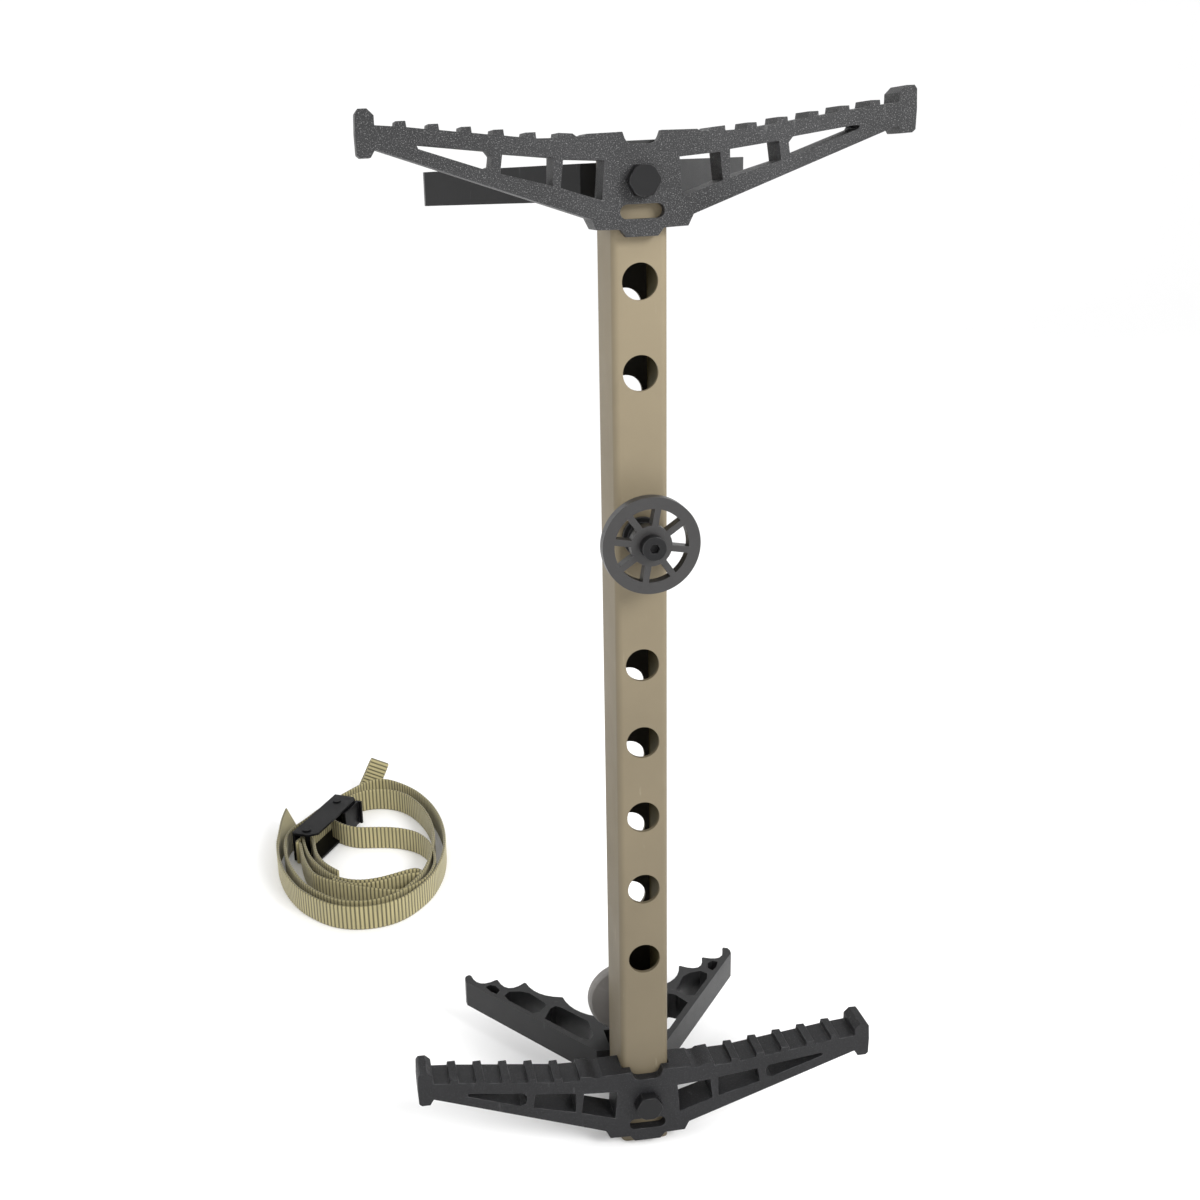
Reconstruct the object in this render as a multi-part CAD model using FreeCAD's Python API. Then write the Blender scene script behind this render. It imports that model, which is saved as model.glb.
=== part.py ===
import FreeCAD, Part
import math
import os

# Climbing stick: one rectangular tube, a toothed double step at each end, a V bracket behind each
# step that bites into the trunk, a spoked strap wheel in front, a round button behind, and a
# webbing strap with a cam buckle lying beside it.
# Millimetres. +Z up the stick, +X to the climber's right, +Y towards the tree.
# Origin: on the trunk's line behind the stick, level with the tube's bottom end.

# ---- the stick as a whole
STICK_LENGTH = 514.0
STAND_OFF = 120.0
LOWER_BOLT_Z = 27.0
UPPER_BOLT_BELOW_TOP = 16.5

# ---- tube
TUBE_WIDTH = 25.4
TUBE_DEPTH = 31.75
TUBE_WALL = 2.0
TUBE_CORNER_R = 3.2
TUBE_HOLE_DIA = 16.4
HOLE_PITCH = 40.5
UPPER_HOLES_BELOW_BOLT = 42.8
LOWER_HOLES_BELOW_BOLT = 223.7
LOWEST_HOLE_Z = 100.0
UPPER_REAR_STAGGER = 13.0
LOWER_REAR_STAGGER = 20.25

# ---- end caps
CAP_FLANGE = 2.0
CAP_PLUG_DEPTH = 9.0
CAP_PLUG_CLEARANCE = 0.1
LOWER_CAP_RECESS = 0.6

# ---- steps
STEP_HALF_LENGTH = 121.6
DRAWN_HALF_LENGTH = 121.6
ARM_ROOT_X = 14.0
STEP_DEPTH = 16.0
STEP_FRONT = 5.0
STEP_CHANNEL_CLEARANCE = 0.05
STEP_END_WIDTH = 8.2
STEP_END_TOP = 33.8
STEP_END_BOTTOM = 14.3
STEP_END_CHAMFER = 2.8
TOOTH_PITCH = 13.65
TOOTH_WIDTH = 4.3
TOOTH_HEIGHT = 2.3
TOOTH_SLOPE = 0.3
TOOTH_COUNT = 5
FIRST_TOOTH_X = 104.7
FIRST_TOOTH_TOP = 28.3
INNER_TOOTH_TOP = 21.5
DECK_TOP = 20.1
NOTCH_HALF_WIDTH = 8.5
NOTCH_FLOOR_HALF_WIDTH = 6.3
NOTCH_FLOOR_Z = 15.0
HUB_HALF_WIDTH = 20.4
HUB_BOTTOM = 19.8
HUB_LIP_BOTTOM = 23.4
STEP_SLOT_LENGTH = 19.6
STEP_SLOT_HEIGHT = 6.2
STEP_SLOT_DROP = 12.8

# ---- through bolts (M8)
BOLT_R = 4.0
BOLT_HOLE_CLEARANCE = 0.15
BOLT_HEAD_AF = 13.0
BOLT_HEAD_HEIGHT = 5.3
NUT_HEIGHT = 7.8
NUT_AF = 13.0
BOLT_STICKOUT = 2.0
HEAD_CROWN_IN = 0.3
HEAD_CROWN_OUT = 2.2
LOCK_COLLAR_HEIGHT = 2.2
WASHER_R = 8.0
WASHER_THICKNESS = 1.6

# ---- tree brackets
BRACKET_HEIGHT = 16.5
BRACKET_BASE = 6.0
BRACKET_ROOT_HALF = 19.5
BRACKET_TIP_X = 82.9
BRACKET_TIP_Y = 79.75
TREE_TOOTH_FLAT = 0.9
NUT_ROOM_HALF = 11.5
NUT_ROOM_DEPTH = 11.8

# ---- strap wheel, on its spool in front of the tube
WHEEL_BELOW_BOLT = 159.2
WHEEL_R = 22.8
WHEEL_RIM_INNER_R = 17.3
WHEEL_HUB_R = 9.6
WHEEL_THICKNESS = 5.6
WHEEL_SPOKES = 8
SPOKE_WIDTH = 3.0
WHEEL_TURN = 10.0
SPOOL_R = 7.0
SPOOL_LENGTH = 12.7
SPOOL_FOOT_R = 9.5
SPOOL_FOOT_THICKNESS = 2.0
WHEEL_END_GAP = 0.35
WHEEL_BOLT_R = 3.0
WHEEL_RUNNING_CLEARANCE = 0.05
WHEEL_HEAD_R = 5.7
WHEEL_HEAD_HEIGHT = 5.0
SOCKET_AF = 4.0
SOCKET_FLOOR = 2.0
WHEEL_NUT_AF = 10.0
WHEEL_NUT_HEIGHT = 5.0
WHEEL_BOLT_STICKOUT = 1.0

# ---- rear strap button
BUTTON_R = 20.5
BUTTON_BRACKET_GAP = 1.95
BUTTON_STEM_R = 8.0
BUTTON_STEM_LENGTH = 13.0
BUTTON_THICKNESS = 6.0
BUTTON_SCREW_R = 3.0
BUTTON_HEAD_R = 5.2
BUTTON_HEAD_HEIGHT = 3.0
BUTTON_EDGE = 1.2
BUTTON_HEAD_CLEARANCE = 0.1
BUTTON_SOCKET_FLOOR = 1.2
BUTTON_SCREW_REACH = 3.0

# ---- strap: 19 mm webbing coiled on edge, and its cam buckle
WEBBING_WIDTH = 19.0
WEBBING_THICKNESS = 1.8
COIL_X = -138.0
COIL_Y = 231.0
COIL_HALF_X = 67.0
COIL_HALF_Y = 105.0
COIL_WALL = 22.0
FLAT_TURN = 49.7
FLAT_REACH = 60.4
FLAT_WALL = 30.0
TAIL_LENGTH = 52.0
TAIL_POINT = 9.0
TAIL_OFFSET_X = -3.5
TAIL_OFFSET_Y = 6.0
TAIL_TURN = 84.0
LOOP_OFFSET_X = 22.0
LOOP_OFFSET_Y = -1.7
LOOP_WIDTH = 16.0
LOOP_DEPTH = 7.0
LOOP_TOP = 37.0
BUCKLE_OFFSET_X = -25.7
BUCKLE_OFFSET_Y = 24.4
BUCKLE_TURN = 60.0
BUCKLE_LENGTH = 70.0
BUCKLE_HEIGHT = 24.0
BUCKLE_PLATE = 1.8
BUCKLE_BACK = 10.0
BUCKLE_CHEEK_REACH = 20.0
BUCKLE_CORNER = 6.0
BUCKLE_LIFT = 1.0
BUCKLE_POCKET_DEPTH = 60.0
BUCKLE_POCKET_GAP = 0.5
BUCKLE_LEVER_ROOM = 8.0
PLATE_SLOT_LENGTH = 11.0
PLATE_SLOT_HEIGHT = 5.6
PLATE_SLOT_X = 5.0
LEVER_BARREL_R = 5.2
LEVER_PAD_START = -13.0
LEVER_PAD_END = 11.0
LEVER_PAD_FACE = -14.5
LEVER_PAD_THICKNESS = 3.0
LEVER_WEB_HALF = 3.0
LEVER_LIP = 2.5
LEVER_LIP_THICKNESS = 2.0
LEVER_SIDE_GAP = 0.5
PIVOT_R = 2.0
PIVOT_CLEARANCE = 0.05
PIVOT_X = BUCKLE_LENGTH / 2 - 11.0
PIVOT_Y = 2.5
RIVET_X = 7.0 - BUCKLE_LENGTH / 2
RIVET_Y = 1.0
RIVET_HEAD_R = 3.4
RIVET_HEAD_HEIGHT = 1.0
RIVET_FOOT_GAP = 0.1

TUBE_FRONT = -STAND_OFF
TUBE_REAR = TUBE_FRONT + TUBE_DEPTH
UPPER_BOLT_Z = STICK_LENGTH - UPPER_BOLT_BELOW_TOP
WHEEL_Z = UPPER_BOLT_Z - WHEEL_BELOW_BOLT
BUTTON_Z = LOWER_BOLT_Z + BRACKET_HEIGHT / 2 + BUTTON_BRACKET_GAP + BUTTON_R
V = FreeCAD.Vector


def box(x0, x1, y0, y1, z0, z1):
    return Part.makeBox(x1 - x0, y1 - y0, z1 - z0, V(x0, y0, z0))


def rod_y(radius, y0, y1, x, z):
    return Part.makeCylinder(radius, y1 - y0, V(x, y0, z), V(0, 1, 0))


def rod_z(radius, z0, z1, x, y):
    return Part.makeCylinder(radius, z1 - z0, V(x, y, z0), V(0, 0, 1))


def hex_y(across_flats, y0, y1, x, z):
    radius = across_flats / math.sqrt(3.0)
    turns = [math.radians(60 * k) for k in range(6)]
    points = [V(x + radius * math.cos(a), y0, z + radius * math.sin(a)) for a in turns]
    face = Part.Face(Part.makePolygon(points + [points[0]]))
    return face.extrude(V(0, y1 - y0, 0))


def plate_xz(outline, y0, y1):
    points = [V(x, y0, z) for x, z in outline]
    face = Part.Face(Part.makePolygon(points + [points[0]]))
    return face.extrude(V(0, y1 - y0, 0))


def plate_xy(outline, z0, z1):
    points = [V(x, y, z0) for x, y in outline]
    face = Part.Face(Part.makePolygon(points + [points[0]]))
    return face.extrude(V(0, 0, z1 - z0))


def upright_edges(solid):
    return [e for e in solid.Edges if abs(e.tangentAt(e.FirstParameter).z) > 0.99]


# ---------------------------------------------------------------- tube and its end caps

def rounded_bar(half_x, y0, y1, z0, z1, radius):
    bar = box(-half_x, half_x, y0, y1, z0, z1)
    return bar.makeFillet(radius, upright_edges(bar))


def front_hole_heights():
    upper = [UPPER_BOLT_Z - UPPER_HOLES_BELOW_BOLT - HOLE_PITCH * k for k in range(2)]
    first = UPPER_BOLT_Z - LOWER_HOLES_BELOW_BOLT
    count = int((first - LOWEST_HOLE_Z) / HOLE_PITCH) + 1
    lower = [first - HOLE_PITCH * k for k in range(count)]
    return upper, lower


def make_main_tube():
    half = TUBE_WIDTH / 2
    top = STICK_LENGTH - CAP_FLANGE
    tube = rounded_bar(half, TUBE_FRONT, TUBE_REAR, 0, top, TUBE_CORNER_R)
    bore = rounded_bar(half - TUBE_WALL, TUBE_FRONT + TUBE_WALL, TUBE_REAR - TUBE_WALL,
                       -1, top + 1, TUBE_CORNER_R - TUBE_WALL)
    tube = tube.cut(bore)
    upper, lower = front_hole_heights()
    radius = TUBE_HOLE_DIA / 2
    middle = TUBE_FRONT + TUBE_DEPTH / 2
    cuts = [rod_y(radius, TUBE_FRONT - 1, middle, 0, z) for z in upper + lower]
    cuts += [rod_y(radius, middle, TUBE_REAR + 1, 0, z - UPPER_REAR_STAGGER) for z in upper]
    cuts += [rod_y(radius, middle, TUBE_REAR + 1, 0, z - LOWER_REAR_STAGGER) for z in lower[:-1]]
    bolt_hole = BOLT_R + BOLT_HOLE_CLEARANCE
    cuts += [rod_y(bolt_hole, TUBE_FRONT - 1, TUBE_REAR + 1, 0, z) for z in (LOWER_BOLT_Z, UPPER_BOLT_Z)]
    cuts.append(rod_y(WHEEL_BOLT_R + BOLT_HOLE_CLEARANCE, TUBE_FRONT - 1, middle, 0, WHEEL_Z))
    cuts.append(rod_y(BUTTON_SCREW_R, middle, TUBE_REAR + 1, 0, BUTTON_Z))
    return tube.cut(Part.makeCompound(cuts))


def make_cap_plug(z0, z1):
    inset = TUBE_WALL + CAP_PLUG_CLEARANCE
    half = TUBE_WIDTH / 2 - inset
    return rounded_bar(half, TUBE_FRONT + inset, TUBE_REAR - inset, z0, z1, TUBE_CORNER_R - TUBE_WALL)


def make_upper_end_cap():
    seat = STICK_LENGTH - CAP_FLANGE
    plug = make_cap_plug(seat - CAP_PLUG_DEPTH, seat + CAP_FLANGE / 2)
    half = TUBE_WIDTH / 2
    flange = rounded_bar(half, TUBE_FRONT, TUBE_REAR, seat, STICK_LENGTH, TUBE_CORNER_R)
    return flange.fuse(plug).removeSplitter()


def make_lower_end_cap():
    return make_cap_plug(LOWER_CAP_RECESS, LOWER_CAP_RECESS + CAP_PLUG_DEPTH)


# ---------------------------------------------------------------- steps

def stretched(outline):
    """An outline drawn for the standard arm, with everything beyond its root stretched to suit."""
    ratio = (STEP_HALF_LENGTH - ARM_ROOT_X) / (DRAWN_HALF_LENGTH - ARM_ROOT_X)
    return [(x if x < ARM_ROOT_X else ARM_ROOT_X + (x - ARM_ROOT_X) * ratio, z) for x, z in outline]


def deck_outline():
    """Right half of the step's upper edge, from the notch out to the last tooth."""
    drop = (FIRST_TOOTH_TOP - INNER_TOOTH_TOP) / (TOOTH_COUNT - 1)
    points = [(4.2, NOTCH_FLOOR_Z), (NOTCH_FLOOR_HALF_WIDTH, NOTCH_FLOOR_Z + 0.7)]
    points += [(NOTCH_HALF_WIDTH - 1.0, NOTCH_FLOOR_Z + 2.3), (NOTCH_HALF_WIDTH, DECK_TOP)]
    points += [(24.0, DECK_TOP - 0.2), (25.6, DECK_TOP - 1.1), (28.4, DECK_TOP - 1.0)]
    points += [(30.0, DECK_TOP + 0.2), (36.2, DECK_TOP + 0.7)]
    points.append((36.2 + TOOTH_SLOPE, DECK_TOP - 1.3))
    for k in reversed(range(TOOTH_COUNT)):
        outer = FIRST_TOOTH_X - TOOTH_PITCH * k
        top = FIRST_TOOTH_TOP - drop * k
        floor = top - TOOTH_HEIGHT
        points += [(outer - TOOTH_WIDTH - TOOTH_SLOPE, floor - 0.2), (outer - TOOTH_WIDTH, top)]
        points += [(outer, top), (outer + TOOTH_SLOPE, floor + 0.3)]
    return points


def step_outline():
    end = DRAWN_HALF_LENGTH
    inner_end = end - STEP_END_WIDTH
    right = deck_outline()
    right += [(inner_end, FIRST_TOOTH_TOP - 1.2), (inner_end, STEP_END_TOP - STEP_END_CHAMFER)]
    right += [(inner_end + STEP_END_CHAMFER, STEP_END_TOP), (end - 1.6, STEP_END_TOP)]
    right += [(end - 0.4, STEP_END_TOP - 1.6), (end, 24.0)]
    right += [(end - 0.2, 15.6), (end - 1.6, STEP_END_BOTTOM)]
    right += [(inner_end + 2.2, STEP_END_BOTTOM), (inner_end + 0.2, 17.5)]
    right += [(22.8, -15.0), (HUB_HALF_WIDTH, -HUB_BOTTOM)]
    right += [(9.6, -HUB_BOTTOM - 0.3), (7.0, -HUB_LIP_BOTTOM)]
    right = stretched(right)
    left = [(-x, z) for x, z in reversed(right)]
    return right + left


def step_windows():
    """Three windows through one arm, right-hand side."""
    inner = [(16.4, 8.9), (34.2, 10.1), (35.6, -1.6), (17.6, -7.5)]
    middle = [(38.6, 11.0), (60.2, 13.5), (61.4, 5.4), (38.9, -0.6)]
    outer = [(66.4, 14.9), (70.0, 15.4), (94.6, 18.5), (96.2, 18.2)]
    outer += [(95.6, 16.9), (68.2, 7.5), (65.2, 8.4), (64.6, 12.6)]
    return [stretched(window) for window in (inner, middle, outer)]


def make_step(z):
    y0 = TUBE_FRONT - STEP_FRONT
    y1 = y0 + STEP_DEPTH
    body = plate_xz([(x, z + h) for x, h in step_outline()], y0, y1)
    cuts = []
    for window in step_windows():
        cuts.append(plate_xz([(x, z + h) for x, h in window], y0 - 1, y1 + 1))
        cuts.append(plate_xz([(-x, z + h) for x, h in reversed(window)], y0 - 1, y1 + 1))
    half = TUBE_WIDTH / 2 + STEP_CHANNEL_CLEARANCE
    cuts.append(box(-half, half, TUBE_FRONT, y1 + 1, z - 60, z + 60))
    flat = (STEP_SLOT_LENGTH - STEP_SLOT_HEIGHT) / 2
    slot_z = z - STEP_SLOT_DROP
    slot_r = STEP_SLOT_HEIGHT / 2
    cuts.append(box(-flat, flat, y0 - 1, TUBE_FRONT + 1, slot_z - slot_r, slot_z + slot_r))
    cuts += [rod_y(slot_r, y0 - 1, TUBE_FRONT + 1, x, slot_z) for x in (-flat, flat)]
    cuts.append(rod_y(BOLT_R + BOLT_HOLE_CLEARANCE, y0 - 1, TUBE_FRONT + 1, 0, z))
    for cut in cuts:
        body = body.cut(cut)
    return body


# ---------------------------------------------------------------- tree brackets

def arc_points(a, b, sag, count=5):
    """Points of a shallow hollow between a and b, leaving both ends out."""
    dx, dy = b[0] - a[0], b[1] - a[1]
    length = math.hypot(dx, dy)
    nx, ny = dy / length, -dx / length
    points = []
    for k in range(1, count + 1):
        t = k / (count + 1.0)
        bulge = sag * 4 * t * (1 - t)
        points.append((a[0] + dx * t + nx * bulge, a[1] + dy * t + ny * bulge))
    return points


def bracket_half():
    """Right half of the bracket seen from above, distances behind the tube's rear face."""
    tip = (80.2, 86.65)
    heel = (79.0, 85.45)
    teeth = [(64.6, 78.45), (48.3, 72.25), (29.2, 53.65), (12.8, 31.35)]
    hollows = [6.0, 7.0, 4.2, 3.6]
    outline = [(0, 0), (BRACKET_ROOT_HALF, 0), (BRACKET_TIP_X, BRACKET_TIP_Y)]
    outline += [(BRACKET_TIP_X + 0.3, 83.25), (82.4, 85.45), tip, heel]
    last = heel
    for tooth, hollow in zip(teeth, hollows):
        outline += arc_points(tooth, last, hollow)[::-1]
        outline.append(tooth)
        last = (tooth[0] - TREE_TOOTH_FLAT, tooth[1] - TREE_TOOTH_FLAT / 2)
        outline.append(last)
    outline += [(5.5, 24.25), (0, 21.75)]
    return outline


def bracket_pockets():
    """Three pockets down through one arm, between the outer skin and the toothed edge."""
    first = [(72.0, 72.05), (69.0, 73.65), (65.6, 71.75), (64.0, 67.05), (66.3, 63.85), (69.4, 66.85)]
    second = [(62.0, 61.25), (58.8, 64.65), (52.2, 63.85), (47.0, 60.85), (39.8, 49.45)]
    second += [(39.6, 46.65), (44.0, 41.65), (48.4, 41.05), (60.6, 56.45)]
    third = [(42.4, 34.65), (37.6, 43.45), (34.0, 45.45), (31.2, 43.45), (18.6, 27.65)]
    third += [(18.2, 14.25), (21.0, 10.65), (25.4, 12.85)]
    return [first, second, third]


def make_bracket(z):
    low = z - BRACKET_HEIGHT / 2
    high = z + BRACKET_HEIGHT / 2
    right = plate_xy([(x, TUBE_REAR + y) for x, y in bracket_half()], low, high)
    for pocket in bracket_pockets():
        right = right.cut(plate_xy([(x, TUBE_REAR + y) for x, y in pocket], low - 1, high + 1))
    left = right.mirror(V(0, 0, 0), V(1, 0, 0))
    body = right.fuse(left).removeSplitter()
    seat = TUBE_REAR + BRACKET_BASE
    nut_room = box(-NUT_ROOM_HALF, NUT_ROOM_HALF, seat, seat + NUT_ROOM_DEPTH, low - 1, high + 1)
    hole = rod_y(BOLT_R + BOLT_HOLE_CLEARANCE, TUBE_REAR - 1, seat + 1, 0, z)
    return body.cut(nut_room).cut(hole)


# ---------------------------------------------------------------- fasteners

def make_through_bolt(z):
    seat = TUBE_FRONT - STEP_FRONT
    far = TUBE_REAR + BRACKET_BASE
    end = far + WASHER_THICKNESS + NUT_HEIGHT + BOLT_STICKOUT
    head = hex_y(BOLT_HEAD_AF, seat - BOLT_HEAD_HEIGHT, seat, 0, z)
    narrow = BOLT_HEAD_AF / 2 + HEAD_CROWN_IN
    wide = BOLT_HEAD_AF / 2 + HEAD_CROWN_OUT
    face = V(0, seat - BOLT_HEAD_HEIGHT, z)
    crown = Part.makeCone(narrow, wide, BOLT_HEAD_HEIGHT + 0.001, face, V(0, 1, 0))
    shank = rod_y(BOLT_R, seat - 1, end, 0, z)
    return head.common(crown).fuse(shank).removeSplitter()


def make_washer(z):
    seat = TUBE_REAR + BRACKET_BASE
    disc = rod_y(WASHER_R, seat, seat + WASHER_THICKNESS, 0, z)
    return disc.cut(rod_y(BOLT_R + BOLT_HOLE_CLEARANCE, seat - 1, seat + WASHER_THICKNESS + 1, 0, z))


def make_lock_nut(z):
    seat = TUBE_REAR + BRACKET_BASE + WASHER_THICKNESS
    nut = hex_y(NUT_AF, seat, seat + NUT_HEIGHT, 0, z)
    collar = rod_y(NUT_AF / 2 - 0.2, seat, seat + NUT_HEIGHT, 0, z)
    lower = hex_y(NUT_AF, seat, seat + NUT_HEIGHT - LOCK_COLLAR_HEIGHT, 0, z)
    nut = lower.fuse(collar.common(nut))
    return nut.cut(rod_y(BOLT_R, seat - 1, seat + NUT_HEIGHT + 1, 0, z)).removeSplitter()


# ---------------------------------------------------------------- strap wheel

def make_wheel_spool():
    y1 = TUBE_FRONT
    y0 = y1 - SPOOL_LENGTH
    spool = rod_y(SPOOL_R, y0, y1, 0, WHEEL_Z)
    foot = rod_y(SPOOL_FOOT_R, y1 - SPOOL_FOOT_THICKNESS, y1, 0, WHEEL_Z)
    return spool.fuse(foot).cut(rod_y(WHEEL_BOLT_R + WHEEL_RUNNING_CLEARANCE, y0 - 1, y1 + 1, 0, WHEEL_Z))


def wheel_front():
    return TUBE_FRONT - SPOOL_LENGTH - WHEEL_END_GAP - WHEEL_THICKNESS


def wheel_window(turn):
    """One window between two spokes, cut through the web."""
    y0 = wheel_front() - 1
    y1 = y0 + WHEEL_THICKNESS + 2
    ring = rod_y(WHEEL_RIM_INNER_R, y0, y1, 0, WHEEL_Z).cut(rod_y(WHEEL_HUB_R, y0, y1, 0, WHEEL_Z))
    reach = WHEEL_RIM_INNER_R + 5
    wedge_half = math.pi / WHEEL_SPOKES
    corner = SPOKE_WIDTH / 2 / math.sin(wedge_half)
    tip = (corner, 0)
    up = (corner + reach, reach * math.tan(wedge_half))
    down = (corner + reach, -reach * math.tan(wedge_half))
    wedge = plate_xz([tip, up, down], y0, y1)
    wedge.rotate(V(0, 0, 0), V(0, 1, 0), turn)
    wedge.translate(V(0, 0, WHEEL_Z))
    return ring.common(wedge)


def make_strap_wheel():
    y0 = wheel_front()
    y1 = y0 + WHEEL_THICKNESS
    disc = rod_y(WHEEL_R, y0, y1, 0, WHEEL_Z)
    for k in range(WHEEL_SPOKES):
        disc = disc.cut(wheel_window(WHEEL_TURN + 360.0 / WHEEL_SPOKES * (k + 0.5)))
    return disc.cut(rod_y(WHEEL_BOLT_R + WHEEL_RUNNING_CLEARANCE, y0 - 1, y1 + 1, 0, WHEEL_Z))


def make_wheel_bolt():
    under_head = wheel_front() - WHEEL_END_GAP
    end = TUBE_FRONT + TUBE_WALL + WHEEL_NUT_HEIGHT + WHEEL_BOLT_STICKOUT
    head = rod_y(WHEEL_HEAD_R, under_head - WHEEL_HEAD_HEIGHT, under_head, 0, WHEEL_Z)
    shank = rod_y(WHEEL_BOLT_R, under_head - 1, end, 0, WHEEL_Z)
    socket = hex_y(SOCKET_AF, under_head - WHEEL_HEAD_HEIGHT - 1, under_head - SOCKET_FLOOR, 0, WHEEL_Z)
    return head.fuse(shank).cut(socket)


def make_wheel_nut():
    y0 = TUBE_FRONT + TUBE_WALL
    nut = hex_y(WHEEL_NUT_AF, y0, y0 + WHEEL_NUT_HEIGHT, 0, WHEEL_Z)
    return nut.cut(rod_y(WHEEL_BOLT_R, y0 - 1, y0 + WHEEL_NUT_HEIGHT + 1, 0, WHEEL_Z))


# ---------------------------------------------------------------- rear strap button

def make_rear_button():
    y0 = TUBE_REAR
    y1 = y0 + BUTTON_STEM_LENGTH
    stem = rod_y(BUTTON_STEM_R, y0, y1 + 1, 0, BUTTON_Z)
    disc = rod_y(BUTTON_R, y1, y1 + BUTTON_THICKNESS, 0, BUTTON_Z)
    disc = disc.makeChamfer(BUTTON_EDGE, [e for e in disc.Edges if isinstance(e.Curve, Part.Circle)])
    body = stem.fuse(disc)
    body = body.cut(rod_y(BUTTON_SCREW_R, y0 - 1, y1 + BUTTON_THICKNESS + 1, 0, BUTTON_Z))
    seat = y1 + BUTTON_THICKNESS - BUTTON_HEAD_HEIGHT
    return body.cut(rod_y(BUTTON_HEAD_R + BUTTON_HEAD_CLEARANCE, seat, seat + 10, 0, BUTTON_Z))


def make_button_screw():
    seat = TUBE_REAR + BUTTON_STEM_LENGTH + BUTTON_THICKNESS - BUTTON_HEAD_HEIGHT
    head = rod_y(BUTTON_HEAD_R, seat, seat + BUTTON_HEAD_HEIGHT, 0, BUTTON_Z)
    shank = rod_y(BUTTON_SCREW_R, TUBE_REAR - TUBE_WALL - BUTTON_SCREW_REACH, seat + 1, 0, BUTTON_Z)
    socket = hex_y(SOCKET_AF, seat + BUTTON_SOCKET_FLOOR, seat + BUTTON_HEAD_HEIGHT + 1, 0, BUTTON_Z)
    return head.fuse(shank).cut(socket)


# ---------------------------------------------------------------- strap and cam buckle

def turned(solid):
    """Put a buckle piece, drawn lengthwise along X, in its place in the coil's flat side."""
    solid.rotate(V(0, 0, 0), V(0, 0, 1), BUCKLE_TURN)
    solid.translate(V(COIL_X + BUCKLE_OFFSET_X, COIL_Y + BUCKLE_OFFSET_Y, BUCKLE_LIFT))
    return solid


def ellipse_block(half_x, half_y, z0, z1):
    edge = Part.Ellipse(V(0, 0, 0), half_y, half_x).toShape()
    edge.rotate(V(0, 0, 0), V(0, 0, 1), 90)
    edge.translate(V(COIL_X, COIL_Y, z0))
    return Part.Face(Part.Wire(edge)).extrude(V(0, 0, z1 - z0))


def beyond_flat(reach, z0, z1):
    """Everything farther than reach from the coil's centre, on its flattened side."""
    slab = box(-300, 300, reach, reach + 300, z0, z1)
    slab.rotate(V(0, 0, 0), V(0, 0, 1), FLAT_TURN)
    slab.translate(V(COIL_X, COIL_Y, 0))
    return slab


def make_strap_coil():
    outer = ellipse_block(COIL_HALF_X, COIL_HALF_Y, 0, WEBBING_WIDTH)
    outer = outer.cut(beyond_flat(FLAT_REACH, -1, WEBBING_WIDTH + 1))
    inner = ellipse_block(COIL_HALF_X - COIL_WALL, COIL_HALF_Y - COIL_WALL, -1, WEBBING_WIDTH + 1)
    inner = inner.cut(beyond_flat(FLAT_REACH - FLAT_WALL, -2, WEBBING_WIDTH + 2))
    half = BUCKLE_LENGTH / 2
    back = BUCKLE_BACK + BUCKLE_POCKET_GAP
    pocket = box(-half - BUCKLE_POCKET_GAP, half + BUCKLE_LEVER_ROOM, -BUCKLE_POCKET_DEPTH, back,
                 -2, WEBBING_WIDTH + 2)
    return outer.cut(inner).cut(turned(pocket))


def make_strap_tail():
    """The pointed free end of the webbing, standing on edge outside the last turn."""
    slab = box(0, TAIL_LENGTH, 0, WEBBING_THICKNESS, 0, WEBBING_WIDTH)
    root = TAIL_LENGTH - TAIL_POINT
    end = TAIL_LENGTH + 1
    low = plate_xz([(root, -1), (end, -1), (end, TAIL_POINT)], -1, 5)
    over = WEBBING_WIDTH + 1
    high = plate_xz([(root, over), (end, over), (end, WEBBING_WIDTH - TAIL_POINT)], -1, 5)
    slab = slab.cut(low).cut(high)
    slab.rotate(V(0, 0, 0), V(0, 0, 1), TAIL_TURN)
    slab.translate(V(COIL_X - COIL_HALF_X + TAIL_OFFSET_X, COIL_Y + TAIL_OFFSET_Y, 0))
    return slab


def make_strap_loop():
    half = LOOP_WIDTH / 2
    x = COIL_X + LOOP_OFFSET_X
    y = COIL_Y + COIL_HALF_Y + LOOP_OFFSET_Y
    return box(x - half, x + half, y, y + LOOP_DEPTH, 0, LOOP_TOP)


def make_buckle_frame():
    half = BUCKLE_LENGTH / 2
    back = BUCKLE_BACK
    front = back - BUCKLE_CHEEK_REACH
    corner = BUCKLE_CORNER
    cheek = [(-half, back), (-half, front + corner), (-half + corner, front)]
    cheek += [(half - corner / 2, front), (half, front + corner / 2), (half, back)]
    body = box(-half, half, back - BUCKLE_PLATE, back, 0, BUCKLE_HEIGHT)
    for low in (0, BUCKLE_HEIGHT - BUCKLE_PLATE):
        body = body.fuse(plate_xy(cheek, low, low + BUCKLE_PLATE))
    body = body.removeSplitter()
    middle = BUCKLE_HEIGHT / 2
    flat = (PLATE_SLOT_LENGTH - PLATE_SLOT_HEIGHT) / 2
    radius = PLATE_SLOT_HEIGHT / 2
    ends = (PLATE_SLOT_X - flat, PLATE_SLOT_X + flat)
    body = body.cut(box(ends[0], ends[1], 0, back + 1, middle - radius, middle + radius))
    for x in ends:
        body = body.cut(rod_y(radius, 0, back + 1, x, middle))
    for x, y in ((PIVOT_X, PIVOT_Y), (RIVET_X, RIVET_Y)):
        body = body.cut(rod_z(PIVOT_R, -1, BUCKLE_HEIGHT + 1, x, y))
    return turned(body)


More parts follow.
